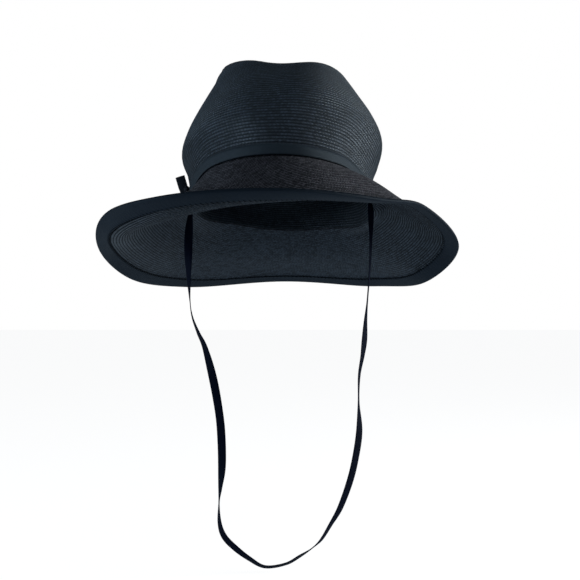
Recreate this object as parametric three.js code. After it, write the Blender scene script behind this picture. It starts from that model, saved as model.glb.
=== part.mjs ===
// Floppy hat of sewn straw braid, with a ribbon-faced rim, a hat band and a hanging chin strap.
// Millimetres, +Z up, the front of the hat faces -Y and +X is the viewer's right.
// The origin is the middle of the head opening. The hat is worn tilted back about the X axis,
// and the chin strap hangs plumb below it.
import * as THREE from 'three';
import { mergeVertices } from 'three/addons/utils/BufferGeometryUtils.js';

// How the hat sits
const WORN_TILT = THREE.MathUtils.degToRad(14);
const SEAM_RISE = Math.tan(THREE.MathUtils.degToRad(-1.9));

// Cloth and straw
const WALL = 1.5;
const RIBBON = 0.8;
const GAP = 0.3;

// Sections round the hat
const SECTIONS = 64;
const STEP = 0.01;

// Crown: one row a height, from the seam with the brim to the tip
// height, half width, reach to the front, reach to the back, squareness of the outline (2 is an ellipse)
// and the shift to the viewer's right that the soft cloth has taken
const CROWN = [
  { height: 0, width: 79.5, front: 102, back: 98, square: 2.05, shift: 0 },
  { height: 8, width: 79.5, front: 104, back: 100, square: 2.05, shift: -1 },
  { height: 19.5, width: 81, front: 107, back: 103, square: 2.05, shift: -2.5 },
  { height: 33, width: 86, front: 108.5, back: 105, square: 2.05, shift: -2.5 },
  { height: 49, width: 86, front: 106, back: 105, square: 2.05, shift: 1 },
  { height: 65, width: 80, front: 98.5, back: 102, square: 2.05, shift: 1.5 },
  { height: 82.5, width: 71, front: 85, back: 97, square: 2.1, shift: 0.5 },
  { height: 99.5, width: 63, front: 65.5, back: 89, square: 2.2, shift: -0.5 },
  { height: 113, width: 59, front: 40, back: 78, square: 2.3, shift: -2 },
  { height: 122, width: 54, front: 20, back: 65, square: 2.35, shift: -4 },
  { height: 127.5, width: 48, front: 8, back: 49, square: 2.3, shift: -7.5 },
  { height: 130, width: 39, front: -3, back: 35, square: 2.1, shift: -9.5 },
  { height: 130.5, width: 0, front: -20, back: 20, square: 2, shift: -9.5 },
];
const CROWN_TIP = CROWN.length - 1;
const CROWN_TOP = CROWN[CROWN_TIP].height;
const CROWN_RINGS_ABOVE_BAND = 15;
const FRONT_NARROWING = 0.07;

// Soft crease pressed along the top of the crown, front to back
const CREASE_DEPTH = 6.5;
const CREASE_WIDTH = 24;
const CREASE_FROM_HEIGHT = 68;
const CREASE_FULL_HEIGHT = 118;

// Brim: one row each 30 degrees, from the front (0) round by the viewer's right (90)
// reach out from the seam, drop below it, slope down at the seam and at the rim (negative curls up)
const BRIM = [
  { reach: 68.5, drop: 52, rootSlope: 49, rimSlope: -19 },
  { reach: 56.5, drop: 45.5, rootSlope: 33, rimSlope: 2 },
  { reach: 51.5, drop: 31, rootSlope: 20, rimSlope: 12.5 },
  { reach: 70.5, drop: 43, rootSlope: 35, rimSlope: 31 },
  { reach: 64.5, drop: 53.5, rootSlope: 42, rimSlope: 34 },
  { reach: 79.5, drop: 39.5, rootSlope: 38, rimSlope: 24 },
  { reach: 91.5, drop: 25.5, rootSlope: 30, rimSlope: 12 },
  { reach: 90, drop: 41, rootSlope: 36, rimSlope: 24 },
  { reach: 74, drop: 55, rootSlope: 37, rimSlope: 30 },
  { reach: 76, drop: 52, rootSlope: 24.5, rimSlope: -8 },
  { reach: 81, drop: 49, rootSlope: 32, rimSlope: -62 },
  { reach: 88, drop: 56, rootSlope: 61.5, rimSlope: -25 },
];
const BRIM_FULLNESS = 1.25;
const BRIM_RINGS = 8;

// Ribbon facing, folded over the rim: how far it reaches under the brim and on top of it
const FACING_UNDER = 12;
const FACING_OVER = 2;
const FACING_STEP = 4;

// Hat band round the foot of the crown, as steps between the crown's rows
const BAND_STEPS = [0, 0.55, 1.1];

// Ribbon knot on the wearer's right side of the band, and the cut end that stands up from it
const KNOT = { width: 4.6, depth: 6, height: 6.6, x: -83.8, y: 0, z: 6.7 };
const TAIL = { width: 6.8, height: 12.5, x: -87.8, y: -3.7, z: 12.2, lean: 17 };

// Chin strap: a flat ribbon sewn inside the crown at both sides, one row a point of its route
// turn 0 shows its face to the front and 90 its edge
const STRAP_WIDTH = 7.5;
const STRAP_STEPS = 78;
const STRAP_ROUTE = [
  { x: -77.6, y: -1, z: 10, turn: 88 },
  { x: -76.9, y: -2, z: 1, turn: 88 },
  { x: -80, y: -5, z: -14, turn: 60 },
  { x: -81.7, y: -7, z: -38, turn: 8 },
  { x: -81.3, y: -10, z: -66, turn: 50 },
  { x: -80, y: -12, z: -90, turn: 82 },
  { x: -78, y: -12, z: -104, turn: 78 },
  { x: -73, y: -12, z: -117.5, turn: 66 },
  { x: -67, y: -12, z: -131, turn: 48 },
  { x: -60, y: -12, z: -158, turn: 14 },
  { x: -55, y: -12, z: -186, turn: 18 },
  { x: -53, y: -12, z: -207, turn: 14 },
  { x: -52.5, y: -12, z: -232, turn: 24 },
  { x: -54, y: -12, z: -251, turn: 62 },
  { x: -55, y: -12, z: -264, turn: 82 },
  { x: -54.5, y: -12, z: -281, turn: 60 },
  { x: -50.5, y: -12, z: -293, turn: 40 },
  { x: -41, y: -12, z: -303, turn: 37 },
  { x: -29, y: -12, z: -312, turn: 48 },
  { x: -15.5, y: -12, z: -319, turn: 58 },
  { x: 2.5, y: -12, z: -316.5, turn: 62 },
  { x: 15, y: -12, z: -309.5, turn: 63 },
  { x: 25, y: -12, z: -303, turn: 76 },
  { x: 33, y: -12, z: -295.5, turn: 66 },
  { x: 41, y: -12, z: -282.5, turn: 58 },
  { x: 49, y: -12, z: -268.5, turn: 44 },
  { x: 57, y: -12, z: -247, turn: 36 },
  { x: 62, y: -12, z: -227, turn: 36 },
  { x: 65.5, y: -12, z: -203, turn: 40 },
  { x: 65, y: -12, z: -178, turn: 78 },
  { x: 65.5, y: -12, z: -155, turn: 72 },
  { x: 68.3, y: -12, z: -138, turn: 60 },
  { x: 70, y: -12, z: -124, turn: 48 },
  { x: 71, y: -12, z: -107, turn: 66 },
  { x: 72.6, y: -11, z: -90, turn: 80 },
  { x: 74.8, y: -9, z: -62, turn: 76 },
  { x: 75.8, y: -7, z: -38, turn: 68 },
  { x: 76, y: -5, z: -10, turn: 42 },
  { x: 75.2, y: -2, z: 2, turn: 86 },
  { x: 75.4, y: -1, z: 11, turn: 88 },
];

// Materials
const straw = new THREE.MeshStandardMaterial({ color: 0x2a313a, roughness: 0.42, metalness: 0 });
const bandCloth = new THREE.MeshStandardMaterial({ color: 0x1f2a33, roughness: 0.6, metalness: 0 });
const facingCloth = new THREE.MeshStandardMaterial({ color: 0x18202b, roughness: 0.65, metalness: 0 });
const velvet = new THREE.MeshStandardMaterial({ color: 0x0b1019, roughness: 0.85, metalness: 0 });
const strapCloth = new THREE.MeshStandardMaterial({ color: 0x060a14, roughness: 0.7, metalness: 0 });

// Smooth curve through the rows of a table; place counts rows, and a closed table runs round
function through(rows, place, closed) {
  const last = rows.length - 1;
  const near = closed ? Math.floor(place) : Math.min(Math.floor(place), last - 1);
  const pick = (k) => rows[closed ? (k + rows.length) % rows.length : THREE.MathUtils.clamp(k, 0, last)];
  const [a, b, c, d] = [pick(near - 1), pick(near), pick(near + 1), pick(near + 2)];
  const t = place - near;
  const out = {};
  for (const name of Object.keys(b)) {
    const slopeB = (c[name] - a[name]) / 2;
    const slopeC = (d[name] - b[name]) / 2;
    const rise = c[name] - b[name];
    out[name] = b[name] + t * (slopeB + t * (3 * rise - 2 * slopeB - slopeC + t * (slopeB + slopeC - 2 * rise)));
  }
  return out;
}

// Point on the unit outline at an angle from the front, rounder or squarer
function outline(angle, square) {
  const power = 2 / square;
  const bend = (v) => Math.sign(v) * Math.abs(v) ** power;
  return { side: bend(Math.sin(angle)), ahead: bend(Math.cos(angle)) };
}

// Outer face of the crown at a place between its rows and an angle from the front
function crownFace(place, angle) {
  const row = through(CROWN, place, false);
  const unit = outline(angle, row.square);
  const x = row.width * unit.side * (1 - FRONT_NARROWING * unit.ahead) + row.shift;
  const y = (row.back - row.front) / 2 - (row.back + row.front) / 2 * unit.ahead;
  const pressed = THREE.MathUtils.smoothstep(row.height, CREASE_FROM_HEIGHT, CREASE_FULL_HEIGHT);
  const crease = CREASE_DEPTH * pressed * Math.exp(-((x / CREASE_WIDTH) ** 2));
  const rise = x * SEAM_RISE * Math.max(1 - row.height / CROWN_TOP, 0);
  return new THREE.Vector3(x, y, row.height - crease + rise);
}

// Top face of the brim: share 0 is the rim and 1 the seam
function brimFace(share, angle) {
  const seam = crownFace(0, angle);
  const degrees = THREE.MathUtils.radToDeg(angle);
  const row = through(BRIM, degrees / 360 * BRIM.length, true);
  const out = new THREE.Vector2(Math.sin(angle) / CROWN[0].width, -Math.cos(angle) / CROWN[0].front).normalize();
  const root = THREE.MathUtils.degToRad(row.rootSlope);
  const rim = THREE.MathUtils.degToRad(row.rimSlope);
  const pull = BRIM_FULLNESS * Math.hypot(row.reach, row.drop);
  const t = 1 - share;
  const [leave, arrive, go] = [t ** 3 - 2 * t ** 2 + t, t ** 3 - t ** 2, 3 * t ** 2 - 2 * t ** 3];
  const along = leave * pull * Math.cos(root) + go * row.reach + arrive * pull * Math.cos(rim);
  const down = leave * pull * Math.sin(root) + go * row.drop + arrive * pull * Math.sin(rim);
  return new THREE.Vector3(seam.x + out.x * along, seam.y + out.y * along, seam.z - GAP - down);
}

// Point a distance above a face (below it when negative), measured square to it
function above(face, u, angle, distance) {
  const acrossU = face(u + STEP, angle).sub(face(u - STEP, angle));
  const acrossAngle = face(u, angle + STEP).sub(face(u, angle - STEP));
  const normal = acrossAngle.cross(acrossU).normalize();
  return face(u, angle).addScaledVector(normal, distance);
}

// Shares of the brim's profile that lie the given distances in from the rim
function sharesFromRim(angle, distances) {
  const parts = 120;
  const run = [0];
  for (let k = 1; k <= parts; k += 1) {
    run.push(run[k - 1] + brimFace(k / parts, angle).distanceTo(brimFace((k - 1) / parts, angle)));
  }
  return distances.map((distance) => {
    const k = run.findIndex((length) => length >= distance);
    return k === 0 ? 0 : (k - (run[k] - distance) / (run[k] - run[k - 1])) / parts;
  });
}

// Closed solid through sections of equal point count: round the hat when wrap is set, else end to end
function skin(sections, wrap) {
  const sides = sections[0].length;
  const spans = wrap ? sections.length : sections.length - 1;
  const corner = (i, j) => (i % sections.length) * sides + (j % sides);
  const index = [];
  for (let i = 0; i < spans; i += 1) {
    for (let j = 0; j < sides; j += 1) {
      const [a, b, c, d] = [corner(i, j), corner(i + 1, j), corner(i + 1, j + 1), corner(i, j + 1)];
      index.push(a, b, c, a, c, d);
    }
  }
  if (!wrap) {
    const end = sections.length - 1;
    for (let j = 1; j < sides - 1; j += 1) {
      index.push(corner(0, 0), corner(0, j), corner(0, j + 1));
      index.push(corner(end, 0), corner(end, j + 1), corner(end, j));
    }
  }
  const geometry = new THREE.BufferGeometry().setFromPoints(sections.flat());
  geometry.setIndex(index);
  return outward(tidied(geometry));
}

// Merges the points that coincide and drops the triangles that closed up
function tidied(geometry) {
  const merged = mergeVertices(geometry, 1e-4);
  const corners = merged.index.array;
  const kept = [];
  for (let k = 0; k < corners.length; k += 3) {
    const [a, b, c] = [corners[k], corners[k + 1], corners[k + 2]];
    if (a !== b && b !== c && c !== a) kept.push(a, b, c);
  }
  merged.setIndex(kept);
  return merged;
}

// Turns a solid's triangles round when they enclose a negative volume
function outward(geometry) {
  const points = geometry.attributes.position;
  const corners = Array.from(geometry.index.array);
  const [a, b, c] = [new THREE.Vector3(), new THREE.Vector3(), new THREE.Vector3()];
  let volume = 0;
  for (let k = 0; k < corners.length; k += 3) {
    a.fromBufferAttribute(points, corners[k]);
    b.fromBufferAttribute(points, corners[k + 1]);
    c.fromBufferAttribute(points, corners[k + 2]);
    volume += a.dot(b.cross(c));
  }
  if (volume < 0) corners.reverse();
  geometry.setIndex(corners);
  geometry.computeVertexNormals();
  return geometry;
}

// Runs a function for each section's angle round the hat
function round(section) {
  return Array.from({ length: SECTIONS }, (_, k) => section(2 * Math.PI * k / SECTIONS));
}

// The crown: an open shell whose wall follows the outer face
function crown() {
  const bandTop = BAND_STEPS[BAND_STEPS.length - 1];
  const places = [...BAND_STEPS];
  for (let k = 1; k < CROWN_RINGS_ABOVE_BAND; k += 1) {
    places.push(bandTop + (CROWN_TIP - bandTop) * k / CROWN_RINGS_ABOVE_BAND);
  }
  const tip = crownFace(CROWN_TIP, 0);
  const underTip = tip.clone();
  underTip.z -= WALL;
  return skin(round((angle) => {
    const outer = places.map((place) => crownFace(place, angle));
    const inner = places.map((place) => above(crownFace, place, angle, -WALL));
    inner[0].z = outer[0].z;
    return [...outer, tip, underTip, ...inner.reverse()];
  }), true);
}

// The brim: a thin shell from under the crown's edge to the rim
function brim() {
  const facingRings = [0, FACING_STEP, 2 * FACING_STEP, FACING_UNDER];
  return skin(round((angle) => {
    const shares = sharesFromRim(angle, facingRings);
    const start = shares[shares.length - 1];
    for (let k = 1; k <= BRIM_RINGS; k += 1) shares.push(start + (1 - start) * k / BRIM_RINGS);
    const top = shares.map((share) => brimFace(share, angle));
    const under = shares.map((share) => above(brimFace, share, angle, -WALL));
    return [...top, ...under.reverse()];
  }), true);
}

// The facing: a ribbon folded over the rim, wide below and narrow on top
function facing() {
  const below = [FACING_UNDER, 2 * FACING_STEP, FACING_STEP, 0];
  return skin(round((angle) => {
    const rim = brimFace(0, angle);
    const past = rim.clone().sub(brimFace(STEP, angle)).normalize();
    const normal = above(brimFace, 0, angle, 1).sub(rim);
    const edge = (out, lift) => rim.clone().addScaledVector(past, out).addScaledVector(normal, lift);
    const layer = (distances, lift) => sharesFromRim(angle, distances)
      .map((share) => above(brimFace, share, angle, lift));
    const [near, far] = [GAP, GAP + RIBBON];
    return [
      ...layer(below, -WALL - near),
      edge(near, -WALL / 2),
      ...layer([0, FACING_OVER], near),
      ...layer([FACING_OVER, 0], far),
      edge(far, far / 2 - WALL / 2),
      edge(far, -WALL / 2 - far / 2),
      ...layer(below.slice().reverse(), -WALL - far),
    ];
  }), true);
}

// The hat band: a ribbon lying on the foot of the crown
function hatBand() {
  return skin(round((angle) => {
    const inner = BAND_STEPS.map((place) => above(crownFace, place, angle, GAP));
    const outer = BAND_STEPS.map((place) => above(crownFace, place, angle, GAP + RIBBON));
    return [...outer, ...inner.reverse()];
  }), true);
}

// The strap: a flat ribbon with eight-sided section, turned about its own line along the way
function chinStrap() {
  const section = [[1, 0.3], [1, -0.3], [0.96, -1], [-0.96, -1], [-1, -0.3], [-1, 0.3], [-0.96, 1], [0.96, 1]];
  const last = STRAP_ROUTE.length - 1;
  const sections = [];
  for (let k = 0; k <= STRAP_STEPS; k += 1) {
    const place = last * k / STRAP_STEPS;
    const here = through(STRAP_ROUTE, place, false);
    const before = through(STRAP_ROUTE, Math.max(place - STEP, 0), false);
    const after = through(STRAP_ROUTE, Math.min(place + STEP, last), false);
    const line = new THREE.Vector3(after.x - before.x, after.y - before.y, after.z - before.z).normalize();
    const front = new THREE.Vector3(0, -1, 0);
    const across = new THREE.Vector3().crossVectors(front, line).normalize();
    across.applyAxisAngle(line, THREE.MathUtils.degToRad(here.turn));
    const thick = new THREE.Vector3().crossVectors(line, across);
    sections.push(section.map(([wide, high]) => new THREE.Vector3(here.x, here.y, here.z)
      .addScaledVector(across, wide * STRAP_WIDTH / 2)
      .addScaledVector(thick, high * RIBBON / 2)));
  }
  return skin(sections, false);
}

// A named piece of the hat
function piece(name, geometry, material) {
  const mesh = new THREE.Mesh(geometry, material);
  mesh.name = name;
  return mesh;
}

const worn = new THREE.Group();
worn.rotation.x = -WORN_TILT;
worn.add(piece('crown', crown(), straw));
worn.add(piece('brim', brim(), straw));
worn.add(piece('rim_facing', facing(), facingCloth));
worn.add(piece('hat_band', hatBand(), bandCloth));

const knot = piece('band_knot', new THREE.SphereGeometry(0.5, 12, 8), velvet);
knot.scale.set(KNOT.width, KNOT.depth, KNOT.height);
knot.position.set(KNOT.x, KNOT.y, KNOT.z);
worn.add(knot);

const tail = piece('band_tail', new THREE.BoxGeometry(TAIL.width, RIBBON, TAIL.height), velvet);
tail.position.set(TAIL.x, TAIL.y, TAIL.z);
tail.rotation.y = -THREE.MathUtils.degToRad(TAIL.lean);
worn.add(tail);

const hat = new THREE.Group();
hat.add(worn);
hat.add(piece('chin_strap', chinStrap(), strapCloth));

export default hat;
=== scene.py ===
"""Dressed floppy hat of sewn straw braid, with a ribbon-faced rim, a hat band and a hanging chin strap.

Metres, +Z up, the front of the hat faces -Y and +X is the viewer's right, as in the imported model.
The faces of the hat are worked out in millimetres before it is tilted back, then placed in metres.
"""
import logging
import math
from collections.abc import Callable, Sequence
from dataclasses import astuple, dataclass, field
from enum import Enum
from typing import NamedTuple

import bpy
import numpy as np
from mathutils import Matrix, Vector


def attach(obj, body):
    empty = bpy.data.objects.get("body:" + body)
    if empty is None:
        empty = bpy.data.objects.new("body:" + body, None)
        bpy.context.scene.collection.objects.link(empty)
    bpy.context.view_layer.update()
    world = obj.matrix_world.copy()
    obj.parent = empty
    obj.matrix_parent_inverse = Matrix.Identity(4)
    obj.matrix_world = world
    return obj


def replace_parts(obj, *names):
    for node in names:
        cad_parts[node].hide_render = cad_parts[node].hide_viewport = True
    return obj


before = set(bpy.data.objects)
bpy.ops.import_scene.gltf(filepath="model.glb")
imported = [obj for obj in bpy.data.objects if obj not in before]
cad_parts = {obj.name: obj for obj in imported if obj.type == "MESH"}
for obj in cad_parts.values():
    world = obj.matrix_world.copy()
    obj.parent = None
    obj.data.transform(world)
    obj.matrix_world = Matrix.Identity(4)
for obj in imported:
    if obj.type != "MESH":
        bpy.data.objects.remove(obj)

log = logging.getLogger("floppy_hat")

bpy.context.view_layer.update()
MM = 0.001
BODY = "root"
WEAVE = "weave"
WHITE = (1, 1, 1, 1)

# Rows on the inner side of a sheet of braid are counted from here, which tells a finish the side
INNER_ROWS = 512
# Step along a face when its slope is measured
SMALL_STEP = 0.01
# Length below which a vector has no direction
TINY = 1e-9
# Decimals of a millimetre at which two points are the same
SAME_POINT = 5

Level = np.ndarray | float
Face = Callable[[Level, np.ndarray], np.ndarray]
Point = tuple[float, float, float]
Colour = tuple[float, float, float]
Rgba = tuple[float, float, float, float]


class Slot(Enum):
    """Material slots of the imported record."""

    STRAW = "straw_braid"
    FACING = "facing_ribbon"
    BAND = "band_ribbon"
    VELVET = "velvet_ribbon"
    STRAP = "strap_ribbon"


@dataclass(frozen=True)
class CrownRow:
    """Outline of the crown at one height, in millimetres; square 2 is an ellipse."""

    height: float
    width: float
    front: float
    back: float
    square: float
    shift: float


@dataclass(frozen=True)
class BrimRow:
    """Profile of the brim at one angle: reach and drop in millimetres, slopes in degrees."""

    reach: float
    drop: float
    root_slope: float
    rim_slope: float


class StrapPoint(NamedTuple):
    """A point of the strap's route in metres, with the turn of its flat side in degrees."""

    x: float
    y: float
    z: float
    turn: float


# From the seam to the tip
CROWN_ROWS = (
    CrownRow(0, 79.5, 102, 98, 2.05, 0),
    CrownRow(8, 79.5, 104, 100, 2.05, -1),
    CrownRow(19.5, 81, 107, 103, 2.05, -2.5),
    CrownRow(33, 86, 108.5, 105, 2.05, -2.5),
    CrownRow(49, 86, 106, 105, 2.05, 1),
    CrownRow(65, 80, 98.5, 102, 2.05, 1.5),
    CrownRow(82.5, 71, 85, 97, 2.1, 0.5),
    CrownRow(99.5, 63, 65.5, 89, 2.2, -0.5),
    CrownRow(113, 59, 40, 78, 2.3, -2),
    CrownRow(122, 54, 20, 65, 2.35, -4),
    CrownRow(127.5, 48, 8, 49, 2.3, -7.5),
    CrownRow(130, 39, -3, 35, 2.1, -9.5),
    CrownRow(130.5, 0, -20, 20, 2, -9.5),
)

# Each 30 degrees, from the front round by the viewer's right
BRIM_ROWS = (
    BrimRow(68.5, 52, 49, -19),
    BrimRow(56.5, 45.5, 33, 2),
    BrimRow(51.5, 31, 20, 12.5),
    BrimRow(70.5, 43, 35, 31),
    BrimRow(64.5, 53.5, 42, 34),
    BrimRow(79.5, 39.5, 38, 24),
    BrimRow(91.5, 25.5, 30, 12),
    BrimRow(90, 41, 36, 24),
    BrimRow(74, 55, 37, 30),
    BrimRow(76, 52, 24.5, -8),
    BrimRow(81, 49, 32, -62),
    BrimRow(88, 56, 61.5, -25),
)

# From the viewer's left end, inside the crown, to the right one
STRAP_ROUTE = (
    StrapPoint(-0.0776, -0.001, 0.010, 88),
    StrapPoint(-0.0769, -0.002, 0.001, 88),
    StrapPoint(-0.0800, -0.005, -0.014, 60),
    StrapPoint(-0.0817, -0.007, -0.038, 8),
    StrapPoint(-0.0813, -0.010, -0.066, 50),
    StrapPoint(-0.0800, -0.012, -0.090, 82),
    StrapPoint(-0.0780, -0.012, -0.104, 78),
    StrapPoint(-0.0730, -0.012, -0.1175, 66),
    StrapPoint(-0.0670, -0.012, -0.131, 48),
    StrapPoint(-0.0600, -0.012, -0.158, 14),
    StrapPoint(-0.0550, -0.012, -0.186, 18),
    StrapPoint(-0.0530, -0.012, -0.207, 14),
    StrapPoint(-0.0525, -0.012, -0.232, 24),
    StrapPoint(-0.0540, -0.012, -0.251, 62),
    StrapPoint(-0.0550, -0.012, -0.264, 82),
    StrapPoint(-0.0545, -0.012, -0.281, 60),
    StrapPoint(-0.0505, -0.012, -0.293, 40),
    StrapPoint(-0.0410, -0.012, -0.303, 37),
    StrapPoint(-0.0290, -0.012, -0.312, 48),
    StrapPoint(-0.0155, -0.012, -0.319, 58),
    StrapPoint(0.0025, -0.012, -0.3165, 62),
    StrapPoint(0.0150, -0.012, -0.3095, 63),
    StrapPoint(0.0250, -0.012, -0.303, 76),
    StrapPoint(0.0330, -0.012, -0.2955, 66),
    StrapPoint(0.0410, -0.012, -0.2825, 58),
    StrapPoint(0.0490, -0.012, -0.2685, 44),
    StrapPoint(0.0570, -0.012, -0.247, 36),
    StrapPoint(0.0620, -0.012, -0.227, 36),
    StrapPoint(0.0655, -0.012, -0.203, 40),
    StrapPoint(0.0650, -0.012, -0.178, 78),
    StrapPoint(0.0655, -0.012, -0.155, 72),
    StrapPoint(0.0683, -0.012, -0.138, 60),
    StrapPoint(0.0700, -0.012, -0.124, 48),
    StrapPoint(0.0710, -0.012, -0.107, 66),
    StrapPoint(0.0726, -0.011, -0.090, 80),
    StrapPoint(0.0748, -0.009, -0.062, 76),
    StrapPoint(0.0758, -0.007, -0.038, 68),
    StrapPoint(0.0760, -0.005, -0.010, 42),
    StrapPoint(0.0752, -0.002, 0.002, 86),
    StrapPoint(0.0754, -0.001, 0.011, 88),
)


def through(rows: np.ndarray, place: np.ndarray, closed: bool) -> np.ndarray:
    """Reads the smooth curve through the rows of a table.

    Args:
        rows: the table, one row a knot.
        place: where to read it, counted in rows.
        closed: whether the last row runs on into the first.

    Returns:
        One row of values for each place.
    """
    place = np.asarray(place, float)
    last = len(rows) - 1
    near = np.floor(place).astype(int)
    if not closed:
        near = np.clip(near, 0, last - 1)

    def pick(k: np.ndarray) -> np.ndarray:
        """Rows at the given counts, wrapped or held at the ends."""
        return rows[k % len(rows)] if closed else rows[np.clip(k, 0, last)]

    before, start, end, after = (pick(near + k) for k in (-1, 0, 1, 2))
    t = (place - near)[..., None]
    leave, arrive, rise = (end - before) / 2, (after - start) / 2, end - start
    return start + t * (leave + t * (3 * rise - 2 * leave - arrive + t * (leave + arrive - 2 * rise)))


def smooth_step(value: np.ndarray, low: float, high: float) -> np.ndarray:
    """Rises smoothly from 0 at low to 1 at high."""
    t = np.clip((value - low) / (high - low), 0, 1)
    return t * t * (3 - 2 * t)


def unit(vectors: np.ndarray, spare: Sequence[float] = (0, 0, 1)) -> np.ndarray:
    """Scales vectors to length 1, with a spare direction where they vanish."""
    length = np.linalg.norm(vectors, axis=-1, keepdims=True)
    return np.where(length > TINY, vectors / np.maximum(length, TINY), np.asarray(spare, float))


def round_angles(count: int) -> np.ndarray:
    """Even angles round a full turn."""
    return 2 * math.pi * np.arange(count) / count


def summed(steps: np.ndarray) -> np.ndarray:
    """Lengths run after each step, from 0."""
    return np.concatenate([[0], np.cumsum(steps)])


def run_round(ring: np.ndarray) -> np.ndarray:
    """Lengths run along a closed ring of points, back to its first point."""
    return summed(np.linalg.norm(np.roll(ring, -1, 0) - ring, axis=-1))


def run_across(rings: Sequence[np.ndarray]) -> np.ndarray:
    """Mean lengths run from ring to ring, back to the first ring."""
    closed = np.stack([*rings, rings[0]], 1)
    return summed(np.linalg.norm(np.diff(closed, axis=1), axis=-1).mean(0))


@dataclass(frozen=True)
class Sink:
    """A side of the hat where the seam sinks: depth in millimetres, and angles in degrees."""

    depth: float
    starts: float
    deepest: float
    leaves: float
    ends: float
    spread: float

    def at(self, angle: np.ndarray) -> np.ndarray:
        """Works out how far the seam sinks.

        Args:
            angle: directions round the hat.

        Returns:
            Millimetres of sinking at each of them.
        """
        turned = np.degrees(angle) % 360
        sign = 1 if self.deepest > self.starts else -1
        into = smooth_step(sign * turned, sign * self.starts, sign * self.deepest)
        out = smooth_step(sign * turned, sign * self.leaves, sign * self.ends)
        return self.depth * into * (1 - out)

    def eased(self, share: np.ndarray, angle: np.ndarray) -> np.ndarray:
        """Millimetres of the sinking that the brim has shed at a share of its width."""
        return self.at(angle) * (1 - smooth_step(share, self.spread, 1))


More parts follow.
